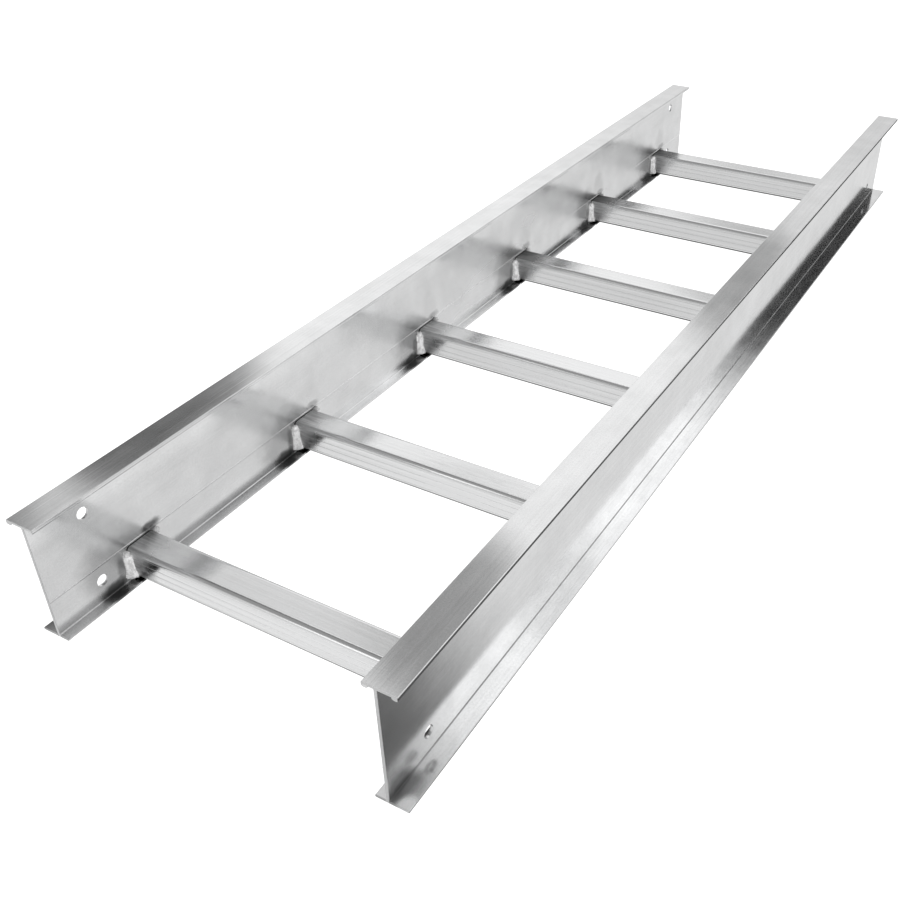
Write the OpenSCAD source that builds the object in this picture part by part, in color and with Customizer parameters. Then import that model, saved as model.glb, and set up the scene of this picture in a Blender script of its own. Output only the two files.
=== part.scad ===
// Cable ladder section: two extruded aluminium side rails of I section, joined
// by rungs of rectangular aluminium tube that are fillet welded to the webs.
// The ladder stands on its two bottom flanges. X runs across the ladder, Y runs
// along the rails and Z is up. The origin is under the middle of the ladder.

/* [Ladder] */
// Length of the side rails
rail_length = 1219; // [700:1:3000]
// Clear width between the two webs
inside_width = 304.8; // [150:0.1:900]
// Number of rungs
rung_count = 6; // [2:1:6]
// Distance from one rung centre to the next
rung_pitch = 208; // [60:1:230]

/* [Side rail] */
// Height of the side rail, over both flanges
rail_h = 108; // [70:0.5:200]
// Thickness of the web
web_t = 2.2; // [1.6:0.1:4]
// Thickness of both flanges between the web and the thick tips
flange_t = 2; // [1.6:0.1:4]
// How far the flanges reach inwards from the inner face of the web
inner_lip = 9.2; // [8:0.1:20]
// How far the flanges reach outwards from the outer face of the web
outer_lip = 15.6; // [10:0.1:30]
// Thickness of the top flange at its two stiffened tips
top_tip_t = 4; // [3.2:0.1:6]
// Width of each stiffened tip of the top flange
top_tip_w = 4.8; // [4:0.1:6]
// Radius of the lower corners of the stiffened tips
top_tip_r = 1.5; // [0.5:0.1:1.8]
// Radius of the extruded edges
edge_r = 0.5; // [0.2:0.1:0.7]
// Radius of the fillets between the web and the flanges
root_r = 0.6; // [0.4:0.1:1.5]

/* [Rung seat line] */
// Height of the fine ridge along the web above the top of the rungs
seat_line_gap = 1.6; // [1.2:0.1:8]
// Width of the fine ridge
seat_line_w = 1.8; // [1:0.1:3]
// How far the fine ridge stands out from the web
seat_line_t = 0.4; // [0.2:0.1:0.8]

/* [Splice holes] */
// Diameter of the bolt holes
hole_d = 10.3; // [5:0.1:14]
// Distance from the end of the rail to the holes
hole_end = 47.6; // [12:0.1:60]
// Distance between the upper and the lower hole
hole_spacing = 67; // [20:0.5:90]

/* [Rung] */
// Width of the rung tube
rung_w = 28.6; // [20:0.1:50]
// Height of the rung tube
rung_h = 28.6; // [24:0.1:40]
// Clearance between the rung tube and the bottom flanges
rung_lift = 2.3; // [1.6:0.1:6]
// Wall of the rung tube
rung_wall = 2; // [1.2:0.1:3]
// Radius of the rung tube's outer corners
rung_r = 4; // [3:0.1:5]
// Number of flutes in each side of the rung tube
flute_count = 4; // [1:1:5]
// Distance from one flute to the next
flute_pitch = 6.3; // [2.5:0.1:6.5]
// Width of a flute
flute_w = 0.8; // [0.6:0.1:2.4]
// Depth of a flute
flute_depth = 0.15; // [0.05:0.05:0.3]

/* [Welds] */
// Leg length of the fillet welds between rung and web
weld_leg = 5.5; // [3:0.1:8]
// How far each weld stops short of the top and bottom of the rung
weld_stop = 2; // [1:0.1:4]

/* [Hidden] */
$fn = 48;

// Cutters reach this far past the faces that they cut through
past = 1;
// Inner face of each web, measured from the middle of the ladder
web_x = inside_width / 2;
// Middle of the first rung, with the row of rungs centred on the rails
first_rung_y = -rung_pitch * (rung_count - 1) / 2;
// Radius of the flute cutter, from the flute's width and depth
flute_r = (flute_w * flute_w / 4 + flute_depth * flute_depth) / (2 * flute_depth);
// Radius of the ridge cutter, from the ridge's width and height
seat_line_r = (seat_line_w * seat_line_w / 4 + seat_line_t * seat_line_t) / (2 * seat_line_t);
// Radius of the rounded ends of the weld beads
weld_end_r = weld_leg * 0.6;
// Height of the underside of the rungs above the underside of the rails
rung_z = flange_t + rung_lift;
// Height of the middle of the ridge above the underside of the rails
seat_line_z = rung_z + rung_h + seat_line_gap;

function rung_y(i) = first_rung_y + rung_pitch * (i - 1);

// The sliver between a square corner at the origin and a circle of radius r
// that touches both of its sides. It is added as a fillet or cut as a rounding.
module corner_sliver(r) {
    difference() {
        translate([-past, -past]) square(r + past);
        translate([r, r]) circle(r);
    }
}

// A rectangle from the origin with four round corners
module round_rect(w, h, r) {
    translate([r, 0]) square([w - 2 * r, h]);
    translate([0, r]) square([w, h - 2 * r]);
    for (x = [r, w - r], y = [r, h - r]) translate([x, y]) circle(r);
}

// Thick tip of the top flange, hanging from the flange's top face at v = 0,
// with its outer edge at u = 0 and its body towards +u
module top_tip() {
    difference() {
        translate([0, -top_tip_t]) square([top_tip_w, top_tip_t]);
        translate([0, -top_tip_t]) corner_sliver(top_tip_r);
        translate([top_tip_w, -top_tip_t]) mirror([1, 0]) corner_sliver(top_tip_r);
        mirror([0, 1]) corner_sliver(edge_r);
    }
}

// Section of the rail: u runs outwards from the web's inner face, v is up
module rail_section() {
    // web, a little short of the outer faces so that the flanges close it
    translate([0, flange_t / 2]) square([web_t, rail_h - flange_t]);
    // bottom flange
    translate([-inner_lip, 0]) round_rect(inner_lip + web_t + outer_lip, flange_t, edge_r);
    // top flange with two thick tips
    translate([top_tip_w / 2 - inner_lip, rail_h - flange_t])
        square([inner_lip + web_t + outer_lip - top_tip_w, flange_t]);
    translate([-inner_lip, rail_h]) top_tip();
    translate([web_t + outer_lip, rail_h]) mirror([1, 0]) top_tip();
    // fillets in the four roots of the web
    translate([0, flange_t]) mirror([1, 0]) root_fillet();
    translate([web_t, flange_t]) root_fillet();
    translate([0, rail_h - flange_t]) mirror([1, 0]) mirror([0, 1]) root_fillet();
    translate([web_t, rail_h - flange_t]) mirror([0, 1]) root_fillet();
    // fine ridge above the rungs
    intersection() {
        translate([seat_line_r - seat_line_t, seat_line_z]) circle(seat_line_r);
        translate([-seat_line_t - past, seat_line_z - seat_line_w / 2])
            square([seat_line_t + past + web_t / 2, seat_line_w]);
    }
}

// Fillet in the corner at the origin, sunk a little way into both plates
module root_fillet() {
    difference() {
        translate([-web_t / 4, -flange_t / 4]) square([root_r + web_t / 4, root_r + flange_t / 4]);
        translate([root_r, root_r]) circle(root_r);
    }
}

// Rail on the +X side, with two splice holes near each end
module side_rail() {
    difference() {
        translate([web_x, rail_length / 2, 0]) rotate([90, 0, 0])
            linear_extrude(rail_length) rail_section();
        for (end = [-1, 1], level = [-1, 1])
            translate([web_x - past, end * (rail_length / 2 - hole_end), rail_h / 2 + level * hole_spacing / 2])
                rotate([0, 90, 0]) cylinder(d = hole_d, h = web_t + 2 * past);
    }
}

module side_rail_left() {
    color([0.78, 0.79, 0.80]) mirror([1, 0, 0]) side_rail();
}

module side_rail_right() {
    color([0.78, 0.79, 0.80]) side_rail();
}

// Outline of the rung tube: its width is centred and its underside is at zero
module rung_outline() {
    difference() {
        translate([-rung_w / 2, 0]) round_rect(rung_w, rung_h, rung_r);
        for (side = [-1, 1], k = [0:flute_count - 1])
            translate([side * (rung_w / 2 + flute_r - flute_depth),
                       rung_h / 2 + (k - (flute_count - 1) / 2) * flute_pitch]) circle(flute_r);
    }
}

// Hollow section of the rung tube
module rung_section() {
    difference() {
        rung_outline();
        translate([rung_wall - rung_w / 2, rung_wall])
            round_rect(rung_w - 2 * rung_wall, rung_h - 2 * rung_wall, rung_r - rung_wall);
    }
}

// Rung from web to web
module rung(i) {
    color([0.84, 0.85, 0.86]) translate([-web_x, rung_y(i), rung_z]) rotate([90, 0, 90])
        linear_extrude(inside_width) rung_section();
}

// One fillet weld: a quarter-round bead standing on the Z axis, in the corner
// between the web on its +X side and the rung on its -Y side
module weld_bead() {
    bead_h = rung_h - 2 * weld_stop;
    translate([0, 0, weld_stop]) rotate([0, 0, 90]) rotate_extrude(angle = 90) difference() {
        square([weld_leg, bead_h]);
        translate([weld_leg, 0]) mirror([1, 0]) corner_sliver(weld_end_r);
        translate([weld_leg, bead_h]) mirror([1, 0]) mirror([0, 1]) corner_sliver(weld_end_r);
    }
}

// The four fillet welds of one rung: one down each side of the tube at each web
module rung_welds(i) {
    color([0.90, 0.90, 0.91]) translate([0, rung_y(i), rung_z])
        for (across = [0, 1], along = [0, 1]) mirror([across, 0, 0]) mirror([0, along, 0])
            translate([web_x, rung_w / 2, 0]) weld_bead();
}

side_rail_left();
side_rail_right();
for (i = [1:rung_count]) {
    rung(i);
    rung_welds(i);
}
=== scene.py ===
"""Looks of the aluminium cable ladder section: two extruded side rails, six welded rungs."""

import math
import bpy
from mathutils import Euler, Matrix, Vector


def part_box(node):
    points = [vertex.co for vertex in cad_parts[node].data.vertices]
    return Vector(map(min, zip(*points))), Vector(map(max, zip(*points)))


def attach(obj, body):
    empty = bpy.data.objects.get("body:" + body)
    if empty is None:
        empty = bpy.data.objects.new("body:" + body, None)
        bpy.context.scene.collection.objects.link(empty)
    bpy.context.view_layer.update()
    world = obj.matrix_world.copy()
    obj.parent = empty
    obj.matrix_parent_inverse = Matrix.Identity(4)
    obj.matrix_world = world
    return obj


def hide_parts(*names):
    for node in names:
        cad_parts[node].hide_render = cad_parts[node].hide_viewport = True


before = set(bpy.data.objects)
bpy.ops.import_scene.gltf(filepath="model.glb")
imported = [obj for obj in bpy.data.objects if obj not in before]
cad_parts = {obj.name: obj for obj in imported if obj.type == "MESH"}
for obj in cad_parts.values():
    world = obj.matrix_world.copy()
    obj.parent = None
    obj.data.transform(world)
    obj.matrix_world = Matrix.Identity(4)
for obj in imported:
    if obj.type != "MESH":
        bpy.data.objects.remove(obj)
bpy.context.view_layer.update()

# ---------------------------------------------------------------- side rails
# Each rail is one aluminium extrusion with a mill finish: satin, with fine die lines along its length and
# rough outer tips. Welding left soot and smoke on the web at each rung, and handling left smudges and one
# scuffed corner. Painted shade darkens the outer tips, the crease at the web's root, the foot's outer
# edge, the foot under each rung and a patch by the web at the near end; a painted highlight runs along
# the ridge and painted light lies under the inner lip. The solids stay.


def add(tree, kind, inputs=None, **settings):
    """A node with its settings and the values or links of its inputs."""
    made = tree.nodes.new(kind)
    for name, value in settings.items():
        setattr(made, name, value)
    for name, value in (inputs or {}).items():
        if isinstance(value, bpy.types.NodeSocket):
            tree.links.new(value, made.inputs[name])
        else:
            made.inputs[name].default_value = value
    return made


def calc(tree, operation, a, b=0.0, c=0.0):
    """The result of one sum on two or three values."""
    return add(tree, "ShaderNodeMath", {0: a, 1: b, 2: c}, operation=operation).outputs[0]


def product(tree, first, *others):
    """All the values multiplied."""
    for other in others:
        first = calc(tree, "MULTIPLY", first, other)
    return first


def raised(tree, value, *marks):
    """Value with each mark added to it, times its amount."""
    for mark, amount in marks:
        value = calc(tree, "MULTIPLY_ADD", mark, amount, value)
    return value


def without(tree, mark, share=1.0):
    """1, less that share of a mark."""
    return raised(tree, 1.0, (mark, -share))


def darkened(tree, tone, *marks):
    """Tone after each mark has taken its share of it. A share below 0 makes it lighter."""
    for mark, share in marks:
        tone = product(tree, tone, without(tree, mark, share))
    return tone


def mottled(tree, *patterns):
    """A tone of 1 that each pattern makes lighter and darker by half of its share."""
    tone = 1.0
    for pattern, share in patterns:
        tone = product(tree, tone, raised(tree, 1 - share / 2, (pattern, share)))
    return tone


def spread(tree, value, low, high, to_low=0.0, to_high=1.0):
    """Value eased from one range to another."""
    inputs = {"Value": value, "From Min": low, "From Max": high, "To Min": to_low, "To Max": to_high}
    return add(tree, "ShaderNodeMapRange", inputs, interpolation_type="SMOOTHSTEP").outputs["Result"]


def band(tree, value, low, high, soft):
    """1 between low and high and 0 outside, with soft edges."""
    over_low = spread(tree, value, low - soft, low + soft)
    return product(tree, over_low, spread(tree, value, high + soft, high - soft))


def noise(tree, place, scale, stretch=(1, 1, 1), detail=2):
    """Noise of that many cells a metre, stretched along the axes."""
    mapped = add(tree, "ShaderNodeMapping", {"Vector": place, "Scale": stretch}).outputs[0]
    inputs = {"Vector": mapped, "Scale": scale, "Detail": detail}
    return add(tree, "ShaderNodeTexNoise", inputs).outputs[0]


def apart(tree, along, up, centre, reach):
    """How far a place is from a centre: 1 on the rim of an oval of that reach."""
    a = calc(tree, "DIVIDE", calc(tree, "SUBTRACT", along, centre[0]), reach[0])
    u = calc(tree, "DIVIDE", calc(tree, "SUBTRACT", up, centre[1]), reach[1])
    return calc(tree, "SQRT", calc(tree, "ADD", product(tree, a, a), product(tree, u, u)))


def blot(tree, along, up, ragged, centre, reach):
    """A soft spot, 1 in its middle, with a ragged edge."""
    raggedness, solid_part = 0.7, 0.35
    far = calc(tree, "SUBTRACT", apart(tree, along, up, centre, reach), raggedness / 2)
    return spread(tree, raised(tree, far, (ragged, raggedness)), 1.0, solid_part)


def point(tree, x, y, z):
    """A vector of three values."""
    return add(tree, "ShaderNodeCombineXYZ", {0: x, 1: y, 2: z}).outputs[0]


def start_finish(name, grain, anisotropy):
    """A bare metal with its grain along one axis, and what its nodes start from."""
    finish = bpy.data.materials.new(name)
    finish.use_nodes = True
    tree = finish.node_tree
    shader = tree.nodes["Principled BSDF"]
    shader.inputs["Metallic"].default_value = 1.0
    shader.inputs["Anisotropic"].default_value = anisotropy
    shader.inputs["Anisotropic Rotation"].default_value = 0.25
    tree.links.new(point(tree, *grain), shader.inputs["Tangent"])
    place = add(tree, "ShaderNodeTexCoord").outputs["Object"]
    axes = add(tree, "ShaderNodeSeparateXYZ", {0: place}).outputs
    return finish, tree, shader, place, axes


def end_finish(tree, shader, colour, tone, rough, bumps):
    """Link the colour, darkened by tone, the roughness and the bumps to the shader."""
    tint = add(tree, "ShaderNodeVectorMath", {0: colour, "Scale": tone}, operation="SCALE").outputs[0]
    tree.links.new(tint, shader.inputs["Base Color"])
    tree.links.new(rough, shader.inputs["Roughness"])
    normal = None
    for height, distance in bumps:
        made = add(tree, "ShaderNodeBump", {"Height": height, "Distance": distance})
        if normal:
            tree.links.new(normal, made.inputs["Normal"])
        normal = made.outputs[0]
    tree.links.new(normal, shader.inputs["Normal"])


rail_low, rail_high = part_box("side_rail_right")
rung_low, rung_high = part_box("rung_1")
next_rung_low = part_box("rung_2")[0]
rung_pitch = next_rung_low.y - rung_low.y
first_rung = (rung_low.y + rung_high.y) / 2
web_face = rung_high.x
web_back = web_face + 0.0022
lip_edge, flange_edge = rail_low.x, rail_high.x
near_end, far_end = rail_low.y, rail_high.y
foot_top, rail_top = rail_low.z + 0.002, rail_high.z

along_rail, mill_grey = (0, 1, 0), (0.80, 0.803, 0.806)
rail_finish_and_shading, tree, shader, place, (x, y, z) = start_finish("rail_mill_finish_with_painted_shading", along_rail, anisotropy=0.6)
clouds = noise(tree, place, scale=12, stretch=(1, 0.6, 1), detail=3)
grain = noise(tree, place, scale=760, stretch=(1, 0.8, 1), detail=1)
ragged = noise(tree, place, scale=130, detail=3)
uneven = noise(tree, place, scale=35)
lines = noise(tree, place, scale=600, stretch=(1, 0.004, 1))
scuffs = noise(tree, place, scale=60, stretch=(1, 0.08, 0.25), detail=3)
out = calc(tree, "ABSOLUTE", x)
from_rung = calc(tree, "SUBTRACT", y, first_rung)
beside = calc(tree, "WRAP", from_rung, rung_pitch / 2, -rung_pitch / 2)

# Marks of welding and handling on the inner faces, at each rung, measured from its middle,
# and a painted shadow on the foot under each rung. Two of them change in strength along the rail.
inside = spread(tree, out, web_face + 0.0012, web_face + 0.0006)
inside = product(tree, inside, spread(tree, z, rail_top - 0.0045, rail_top - 0.0050))
soot = blot(tree, beside, z, ragged, centre=(-0.033, 0.005), reach=(0.018, 0.009))
strip = blot(tree, beside, z, ragged, centre=(-0.0225, 0.016), reach=(0.006, 0.018))
haze = blot(tree, beside, z, uneven, centre=(-0.034, 0.026), reach=(0.036, 0.036))
crescent = blot(tree, beside, z, ragged, centre=(0.013, 0.0375), reach=(0.013, 0.006))
crescent = product(tree, crescent, spread(tree, y, -0.48, -0.35, 1.0, 0.45))
thumbed = blot(tree, beside, z, uneven, centre=(0.008, 0.046), reach=(0.022, 0.024))
thumbed = product(tree, thumbed, spread(tree, y, -0.3, 0.3, 0.3, 1.0))
# Painted shadow: the foot is darkened under each rung.
below = band(tree, beside, -0.0145, 0.0150, soft=0.0004)
below = product(tree, below, spread(tree, z, rung_low.z + 0.0002, rung_low.z - 0.0008))
rung_marks = (soot, strip, haze, crescent, thumbed, below)
soot, strip, haze, crescent, thumbed, below = (product(tree, mark, inside) for mark in rung_marks)

# Tips, edges and corners. The right rail's outer tip has more painted shade than the left's, and a
# little more on the far half. The inside of the foot is darker only at the near end.
tip_height = band(tree, z, rail_top - 0.0038, rail_top - 0.0005, soft=0.0002)
# Painted shade: the outer tip faces are darkened; they are also made rougher below.
shaded_outer_tip = product(tree, tip_height, spread(tree, out, flange_edge - 0.0005, flange_edge - 0.0003))
shaded_outer_tip = product(tree, shaded_outer_tip, spread(tree, y, -0.1, 0.2, 0.82, 1.0))
shaded_outer_tip = product(tree, shaded_outer_tip, spread(tree, x, -0.01, 0.01, 0.5, 1.0))
inner_tip = product(tree, tip_height, spread(tree, out, lip_edge + 0.0005, lip_edge + 0.0003))
# Painted light: the inner lip is lightened below its top.
lip_under_light = band(tree, z, rail_top - 0.0180, rail_top - 0.0018, soft=0.0002)
lip_under_light = product(tree, lip_under_light, spread(tree, out, web_face - 0.0003, web_face - 0.0010))
# Painted highlight along the small ridge on the inner web face.
ridge_highlight = band(tree, z, rung_high.z + 0.0016, rung_high.z + 0.0023, soft=0.0002)
ridge_highlight = product(tree, inside, ridge_highlight, spread(tree, out, web_face, web_face - 0.0001))
# Painted shade in the crease where the outer web meets the foot.
root = band(tree, out, web_back - 0.0002, web_back + 0.0006, soft=0.0002)
root = product(tree, root, spread(tree, z, foot_top + 0.0014, foot_top + 0.0010))
# Painted shade on the foot's outer edge, by the floor.
shaded_foot_edge = spread(tree, out, flange_edge - 0.0003, flange_edge - 0.0001)
shaded_foot_edge = product(tree, shaded_foot_edge, spread(tree, z, foot_top - 0.0002, foot_top - 0.0006))
# The inside of the foot is darker towards the near end.
darker_inner_foot = spread(tree, out, web_face - 0.0006, web_face - 0.0012)
darker_inner_foot = product(tree, darker_inner_foot, spread(tree, z, foot_top + 0.004, foot_top + 0.002))
darker_inner_foot = product(tree, darker_inner_foot, spread(tree, y, -0.2, -0.4))
sawn = spread(tree, calc(tree, "ABSOLUTE", y), far_end - 0.0006, far_end - 0.0002)

# The near end of the right rail's foot: a smudge, a patch of painted shade by the web and a scuffed
# corner
on_foot = spread(tree, z, foot_top + 0.008, foot_top + 0.003)
centre = (near_end + 0.0365, flange_edge - 0.0077)
smudge = product(tree, on_foot, blot(tree, y, x, uneven, centre, reach=(0.008, 0.0045)))
centre = (near_end + 0.0015, flange_edge - 0.0037)
scuffed = blot(tree, y, x, uneven, centre, reach=(0.015, 0.010))
scuffed = product(tree, scuffed, scuffed, on_foot)
# Painted shade: a dark patch on the foot by the web at the near end.
heel_shade = blot(tree, y, z, uneven, centre=(near_end + 0.0135, 0), reach=(0.022, 0.010))
heel_shade = product(tree, heel_shade, spread(tree, out, web_back - 0.0002, web_back - 0.0001))
heel_shade = product(tree, heel_shade, spread(tree, x, flange_edge - 0.0007, flange_edge - 0.0117))
heel_shade = product(tree, heel_shade, without(tree, scuffed))

# The die lines are fainter on the inner faces, and the middle of the web is rougher there
lined = product(tree, lines, without(tree, inside, 0.6))
lined = raised(tree, lined, (inside, 0.3))
tone = mottled(tree, (clouds, 0.16), (grain, 0.16), (lined, 0.16), (uneven, 0.24))
tone = darkened(tree, tone, (soot, 0.74), (strip, 0.45), (haze, 0.36), (crescent, 0.80))
tone = darkened(tree, tone, (thumbed, 0.13), (below, 0.90), (shaded_outer_tip, 0.97), (inner_tip, 0.12))
tone = darkened(tree, tone, (root, 0.50), (shaded_foot_edge, 0.60), (darker_inner_foot, 0.28), (sawn, 0.08))
tone = darkened(tree, tone, (smudge, 0.42), (heel_shade, 0.62))
tone = darkened(tree, tone, (lip_under_light, -0.18), (ridge_highlight, -0.22), (scuffed, -0.25))
satin = product(tree, inside, spread(tree, z, foot_top + 0.001, foot_top + 0.008))
satin = product(tree, satin, spread(tree, z, rail_top - 0.012, rail_top - 0.030))
rough = raised(tree, 0.05, (clouds, 0.06), (scuffs, 0.10), (soot, 0.20), (sawn, 0.25), (satin, 0.13))
rough = calc(tree, "MAXIMUM", rough, product(tree, shaded_outer_tip, 0.9))
rough = raised(tree, rough, (scuffed, 0.30))
bumps = ((clouds, 0.0003), (lines, 0.00002), (grain, 0.000003))
end_finish(tree, shader, mill_grey, tone, rough, bumps)
for name in ("side_rail_left", "side_rail_right"):
    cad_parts[name].material_slots[0].material = rail_finish_and_shading

# --------------------------------------------------------------------- rungs
# Each rung is a fluted rectangular tube, extruded and cut to length, brighter
# than the rails. Welding dulled and streaked its ends. Painted shadow darkens the
# top of the left end, and painted shade the lower edge and each end by the web. The solids stay.
along_rung, bright_grey = (1, 0, 0), (0.84, 0.843, 0.846)
rung_finish_and_shade, tree, shader, place, (x, y, z) = start_finish("rung_mill_finish_with_painted_shade", along_rung, anisotropy=0.6)
clouds = noise(tree, place, scale=22, stretch=(0.4, 1, 1), detail=3)
grain = noise(tree, place, scale=1300, stretch=(0.7, 1, 1))
ragged = noise(tree, place, scale=110, stretch=(0.5, 1, 1), detail=3)
streaks = noise(tree, place, scale=420, stretch=(0.10, 1, 1), detail=3)
lines = noise(tree, place, scale=600, stretch=(0.004, 1, 1))
to_end = calc(tree, "SUBTRACT", web_face, calc(tree, "ABSOLUTE", x))
# Painted shade: each end is darkened where it meets the web.
gap = spread(tree, to_end, 0.0009, 0.0005)
dulled = spread(tree, raised(tree, to_end, (ragged, 0.030)), 0.050, 0.016)
streaked = product(tree, dulled, spread(tree, streaks, 0.42, 0.60))
# Painted shadow over the top of each rung's left end, stronger on the far rungs.
left_end_shadow = spread(tree, raised(tree, to_end, (ragged, 0.012)), 0.050, 0.027)
left_end_shadow = product(tree, left_end_shadow, spread(tree, z, rung_high.z - 0.0007, rung_high.z - 0.0003))
left_end_shadow = product(tree, left_end_shadow, spread(tree, x, 0, -0.01), spread(tree, y, -0.15, 0.15, 0.15, 1.0))
# Painted shade along each rung's lower edge, faint on the near rungs.
lower_edge_shade = band(tree, z, rung_low.z + 0.0003, rung_low.z + 0.0029, soft=0.0003)
lower_edge_shade = product(tree, lower_edge_shade, spread(tree, y, -0.45, -0.25, 0.15, 1.0))
tone = mottled(tree, (clouds, 0.14), (grain, 0.16), (lines, 0.20))
tone = darkened(tree, tone, (gap, 0.90), (dulled, 0.04), (streaked, 0.25))
tone = darkened(tree, tone, (left_end_shadow, 0.74), (lower_edge_shade, 0.70))
rough = raised(tree, 0.11, (clouds, 0.10), (dulled, 0.42))
bumps = ((clouds, 0.0004), (lines, 0.00002), (grain, 0.00003))
end_finish(tree, shader, bright_grey, tone, rough, bumps)
rung_numbers = range(1, 7)
for number in rung_numbers:
    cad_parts[f"rung_{number}"].material_slots[0].material = rung_finish_and_shade

# --------------------------------------------------------------- weld beads
# Each rung is fillet welded to the web down both sides of the tube. A bead is
# bright, rippled and lumpy. It widens at its foot, over the gap above the flange,
# and has a blob at its top. Those on a rung's far side stand a little higher.
upright, weld_silver = (0, 0, 1), (0.96, 0.96, 0.96)
weld_finish_and_shade, tree, shader, place, (x, y, z) = start_finish("weld_metal_finish_with_painted_shade", upright, anisotropy=0.0)
shader.inputs["Metallic"].default_value = 0.4
patches = noise(tree, place, scale=300, stretch=(1, 1, 0.6), detail=3)
grain = noise(tree, place, scale=1500)
bright_patches = spread(tree, patches, 0.35, 0.62)
# Painted shade: the bead is darkened at its foot and towards its top.
foot_shade = spread(tree, z, rung_low.z + 0.0042, rung_low.z + 0.0002)
top_shade = spread(tree, z, rung_high.z - 0.0029, rung_high.z - 0.0011)
tone = raised(tree, 0.72, (bright_patches, 0.35))
tone = darkened(tree, tone, (foot_shade, 0.35), (top_shade, 0.35))
rough = raised(tree, 0.25, (patches, 0.25))
bumps = ((patches, 0.0005), (grain, 0.0001))
end_finish(tree, shader, weld_silver, tone, rough, bumps)

bead_sizes = {
    "Top Leg": 0.0052,
    "Foot Leg": 0.0076,
    "Foot Height": rung_low.z - 0.0003,
    "Top Height": rung_high.z - 0.0031,
    "Ripple Pitch": 0.0019,
    "Ripple Depth": 0.10,
    "Ripple Floor": 0.93,
    "Ripple Bow": 0.0016,
    "Lumps": 0.0016,
    "Blob Radius": 0.0029,
    "Blob Out": 0.0018,
    "Blob Drop": 0.0012,
}
beads = bpy.data.node_groups.new("weld_beads", "GeometryNodeTree")
beads.interface.new_socket("Corners", in_out="INPUT", socket_type="NodeSocketGeometry")
for name, value in bead_sizes.items():
    beads.interface.new_socket(name, in_out="INPUT", socket_type="NodeSocketFloat").default_value = value
beads.interface.new_socket("Finish", in_out="INPUT", socket_type="NodeSocketMaterial")
beads.interface.new_socket("Beads", in_out="OUTPUT", socket_type="NodeSocketGeometry")
given = beads.nodes.new("NodeGroupInput").outputs


def between(tree, share, low, high):
    """The value that is that share of the way from low to high."""
    return add(tree, "ShaderNodeMix", {0: share, 2: low, 3: high}).outputs[0]


# A grid one unit square becomes the skin of a bead: a quarter turn from web to tube, swept up
grid = {"Size X": 1.0, "Size Y": 1.0, "Vertices X": 15, "Vertices Y": 76}
skin = add(beads, "GeometryNodeMeshGrid", grid).outputs[0]
position = add(beads, "GeometryNodeInputPosition").outputs[0]
across, along, _ = add(beads, "ShaderNodeSeparateXYZ", {0: position}).outputs
turn = calc(beads, "MULTIPLY", calc(beads, "ADD", across, 0.5), math.pi / 2)
height = calc(beads, "ADD", along, 0.5)
level = between(beads, height, given["Foot Height"], given["Top Height"])
end_squareness, fullness, flare_end = 14, 1.35, 0.45
leg = between(beads, spread(beads, height, 0.0, flare_end), given["Foot Leg"], given["Top Leg"])
from_middle = calc(beads, "ABSOLUTE", calc(beads, "MULTIPLY", along, 2))
open_part = calc(beads, "SUBTRACT", 1.0, calc(beads, "POWER", from_middle, end_squareness))
leg = product(beads, leg, calc(beads, "SQRT", calc(beads, "MAXIMUM", open_part, 0.0)))
bow = product(beads, calc(beads, "COSINE", calc(beads, "MULTIPLY", across, 3)), given["Ripple Bow"])
ripple = calc(beads, "DIVIDE", calc(beads, "ADD", level, bow), given["Ripple Pitch"])
ripple = calc(beads, "FRACT", ripple)
leg = product(beads, leg, raised(beads, given["Ripple Floor"], (ripple, given["Ripple Depth"])))
cosine, sine = calc(beads, "COSINE", turn), calc(beads, "SINE", turn)
bulge = calc(beads, "ADD", calc(beads, "POWER", cosine, fullness), calc(beads, "POWER", sine, fullness))
leg = calc(beads, "DIVIDE", leg, calc(beads, "POWER", bulge, 1 / fullness))
spot = point(beads, product(beads, leg, cosine), product(beads, leg, sine), level)
skin = add(beads, "GeometryNodeSetPosition", {"Geometry": skin, "Position": spot}).outputs[0]

ball = {"Segments": 28, "Rings": 18, "Radius": given["Blob Radius"]}
blob = add(beads, "GeometryNodeMeshUVSphere", ball).outputs[0]
blob_level = calc(beads, "SUBTRACT", given["Top Height"], given["Blob Drop"])
spot = point(beads, given["Blob Out"], given["Blob Out"], blob_level)
blob = add(beads, "GeometryNodeTransform", {"Geometry": blob, "Translation": spot}).outputs[0]
both = add(beads, "GeometryNodeJoinGeometry")
for shape in (skin, blob):
    beads.links.new(shape, both.inputs[0])

# The bead is put at each corner of the rung, its axes turned as the corner's "way" says
way = add(beads, "GeometryNodeInputNamedAttribute", {"Name": "way"}, data_type="FLOAT_VECTOR").outputs[0]
inputs = {"Points": given["Corners"], "Instance": both.outputs[0], "Scale": way}
placed = add(beads, "GeometryNodeInstanceOnPoints", inputs).outputs[0]
solid = add(beads, "GeometryNodeRealizeInstances", {0: placed}).outputs[0]
way_x, way_y, _ = add(beads, "ShaderNodeSeparateXYZ", {0: way}).outputs
inputs = {0: product(beads, way_x, way_y), 1: 0.0}
mirrored = add(beads, "FunctionNodeCompare", inputs, operation="LESS_THAN").outputs[0]
solid = add(beads, "GeometryNodeFlipFaces", {"Mesh": solid, "Selection": mirrored}).outputs[0]
position = add(beads, "GeometryNodeInputPosition").outputs[0]
inputs = {"Vector": position, "Scale": 330.0, "Detail": 2.0}
lumps = add(beads, "ShaderNodeTexNoise", inputs).outputs[0]
lift = product(beads, calc(beads, "SUBTRACT", lumps, 0.5), given["Lumps"])
normal = add(beads, "GeometryNodeInputNormal").outputs[0]
lift = add(beads, "ShaderNodeVectorMath", {0: normal, "Scale": lift}, operation="SCALE").outputs[0]
solid = add(beads, "GeometryNodeSetPosition", {"Geometry": solid, "Offset": lift}).outputs[0]
solid = add(beads, "GeometryNodeSetShadeSmooth", {0: solid}).outputs[0]
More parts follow.
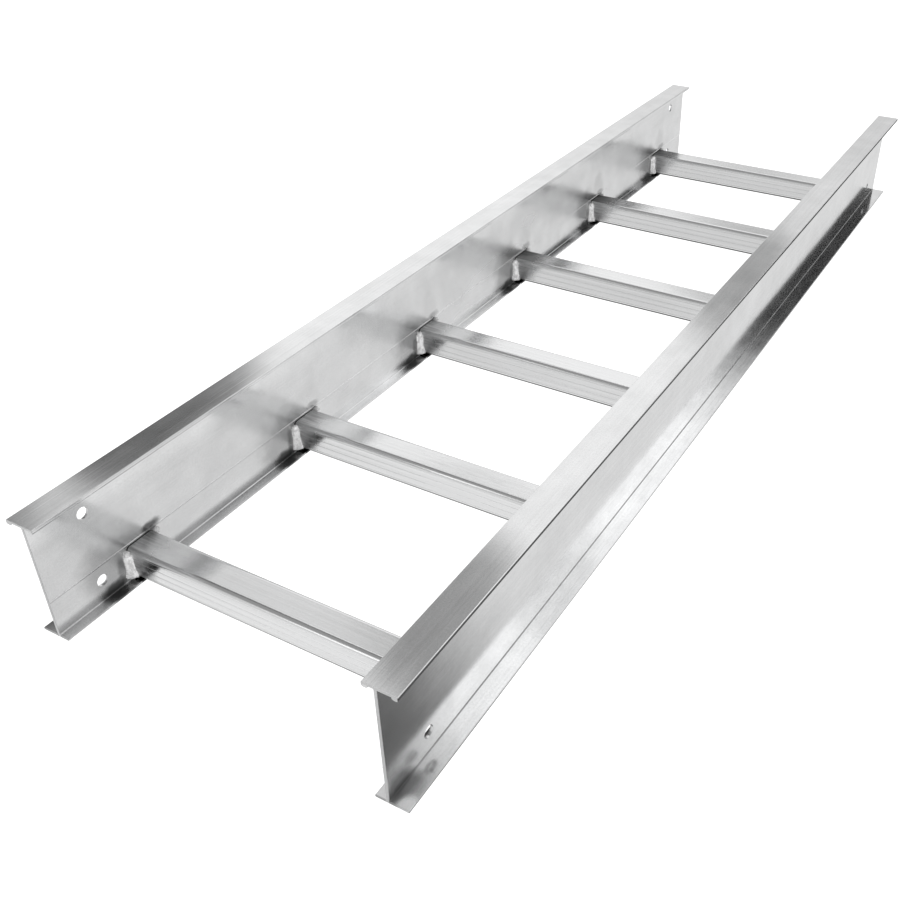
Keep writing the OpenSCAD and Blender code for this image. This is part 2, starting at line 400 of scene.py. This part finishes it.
inputs = {"Geometry": solid, "Material": given["Finish"]}
solid = add(beads, "GeometryNodeSetMaterial", inputs).outputs[0]
beads.links.new(solid, beads.nodes.new("NodeGroupOutput").inputs[0])
finish_input = next(item.identifier for item in beads.interface.items_tree if item.name == "Finish")

near_stretch, far_stretch = 1.0, 1.09
for number in rung_numbers:
    low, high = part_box(f"rung_{number}")
    sides = ((low.y, -1, near_stretch), (high.y, 1, far_stretch))
    corners = bpy.data.meshes.new("corners")
    spots = [(end * web_face, side_y, 0) for end in (-1, 1) for side_y, _, _ in sides]
    ways = [(-end, side, stretch) for end in (-1, 1) for _, side, stretch in sides]
    corners.from_pydata(spots, [], [])
    way_of_corner = corners.attributes.new("way", "FLOAT_VECTOR", "POINT")
    for corner, direction in enumerate(ways):
        way_of_corner.data[corner].vector = direction
    maker = bpy.data.objects.new("corners", corners)
    bpy.context.collection.objects.link(maker)
    modifier = maker.modifiers.new("beads", "NODES")
    modifier.node_group = beads
    modifier[finish_input] = weld_finish_and_shade
    made = bpy.data.meshes.new_from_object(maker.evaluated_get(bpy.context.evaluated_depsgraph_get()))
    bpy.data.objects.remove(maker)
    weld = bpy.data.objects.new(f"weld_beads_{number}", made)
    bpy.context.collection.objects.link(weld)
    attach(weld, "root")
    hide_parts(f"rung_welds_{number}")

# ---------------------------------------------------------------------- room
# A lit white floor and walls, in a white studio with darker stands and gaps
# round it, light overhead and a strip of light at the front left.
room_size = 30
square = ((-1, -1), (1, -1), (1, 1), (-1, 1))
room_corners = [(a * room_size, b * room_size, c * room_size) for c in (0, 1) for a, b in square]
room_walls = [(k, k + 4, (k + 1) % 4 + 4, (k + 1) % 4) for k in range(4)]
floor_mesh = bpy.data.meshes.new("floor")
floor_mesh.from_pydata(room_corners, [], [(0, 1, 2, 3)] + room_walls)
floor = bpy.data.objects.new("floor", floor_mesh)
bpy.context.collection.objects.link(floor)
floor.visible_glossy = False
paper = bpy.data.materials.new("floor_paper")
paper.use_nodes = True
shader = paper.node_tree.nodes["Principled BSDF"]
shader.inputs["Base Color"].default_value = (0.3, 0.3, 0.3, 1)
shader.inputs["Roughness"].default_value = 0.9
shader.inputs["Emission Color"].default_value = (1, 1, 1, 1)
shader.inputs["Emission Strength"].default_value = 1.05
floor_mesh.materials.append(paper)

world = bpy.data.worlds.new("studio")
bpy.context.scene.world = world
world.use_nodes = True
sky = world.node_tree
direction = add(sky, "ShaderNodeTexCoord").outputs["Generated"]
x, y, z = add(sky, "ShaderNodeSeparateXYZ", {0: direction}).outputs
azimuth = calc(sky, "DEGREES", calc(sky, "ARCTAN2", x, y))
elevation = calc(sky, "DEGREES", calc(sky, "ARCSINE", z))


def patch(centre, reach, change, rim=(1.25, 0.75)):
    """A factor over the sky: 1, but 1 + change in a soft oval, with its sizes in degrees."""
    return spread(sky, apart(sky, azimuth, elevation, centre, reach), *rim, 1.0, 1.0 + change)


# The far side: a white wall that dims past its ends, with stands, gaps and one lit patch,
# each given by its centre and reach in degrees and by the share of light that it adds
far_patches = (
    ((-53, 43), (13, 5), -0.22),
    ((-52.5, 29), (6.5, 7), -0.90),
    ((-44, 43), (10, 6), -0.12),
    ((-35, 44.5), (6, 6), -0.68),
    ((-17, 25.5), (3.2, 3.5), -0.60),
    ((-14, 22), (7, 9), -0.15),
    ((27, 40), (13, 12), 0.40),
    ((27.5, 42), (3.2, 3), -0.60),
    ((42, 55), (7, 6), -0.92),
    ((47.5, 35), (3.5, 2.6), -0.85),
    ((51, 37), (12, 5), -0.45),
    ((62, 41), (4, 5), -0.70),
)
ahead = spread(sky, elevation, 15, 24, 0.82, 1.02)
ahead = product(sky, ahead, spread(sky, elevation, 57, 63, 1.0, 0.72))
for wall_end, dim_end in ((-57, -68), (-57.5, -60.5), (64, 78)):
    ahead = product(sky, ahead, spread(sky, azimuth, wall_end, dim_end, 1.0, 0.4))
for centre, reach, change in far_patches:
    ahead = product(sky, ahead, patch(centre, reach, change))
panel = product(sky, band(sky, azimuth, 1, 33, soft=1), band(sky, elevation, 18.8, 29.5, soft=0.8))
ahead = product(sky, ahead, without(sky, panel, 0.98))

# The near side, with the strip of light, and then the floor all round
behind = spread(sky, elevation, 14, 28, 0.62, 0.34)
light_strip = band(sky, azimuth, -154, -147.5, soft=1)
light_strip = product(sky, light_strip, band(sky, elevation, -14, 34, soft=2))
behind = raised(sky, behind, (light_strip, 0.8))
far_floor = product(sky, 0.80, patch((44, -54), (12, 11), -0.85, rim=(1.6, 0.6)))
far_floor = product(sky, far_floor, patch((50, -36), (20, 7), 0.12))
near_floor = spread(sky, elevation, -30, -37, 0.72, 0.92)
onward = spread(sky, y, -0.05, 0.05)
above = between(sky, onward, behind, ahead)
under = between(sky, onward, near_floor, far_floor)
shade = product(sky, band(sky, azimuth, -118, -20, soft=5), spread(sky, elevation, -41, -46))
under = product(sky, under, without(sky, shade, 0.6), spread(sky, elevation, -50, -56, 1.0, 0.4))
glow = between(sky, spread(sky, elevation, -1, 1), under, above)
sky.links.new(glow, sky.nodes["Background"].inputs["Strength"])
sky.nodes["Background"].inputs["Color"].default_value = (1, 1, 1, 1)

lamp_light = bpy.data.lights.new("overhead", "AREA")
lamp_light.size = 1.4
lamp_light.energy = 30
lamp = bpy.data.objects.new("overhead", lamp_light)
lamp.location = (0, 0, 3.0)
lamp.visible_glossy = False
bpy.context.collection.objects.link(lamp)

camera = bpy.data.cameras.new("camera")
camera.lens = 42.46
camera.sensor_width = 36
camera.shift_x = -0.0794
camera.shift_y = -0.0055
eye = bpy.data.objects.new("camera", camera)
eye.location = (0.4438, -0.9428, 0.5817)
eye.rotation_euler = Euler([math.radians(degrees) for degrees in (55.283, 0.212, 29.514)])
bpy.context.collection.objects.link(eye)
bpy.context.scene.camera = eye
bpy.context.scene.view_settings.view_transform = "Standard"
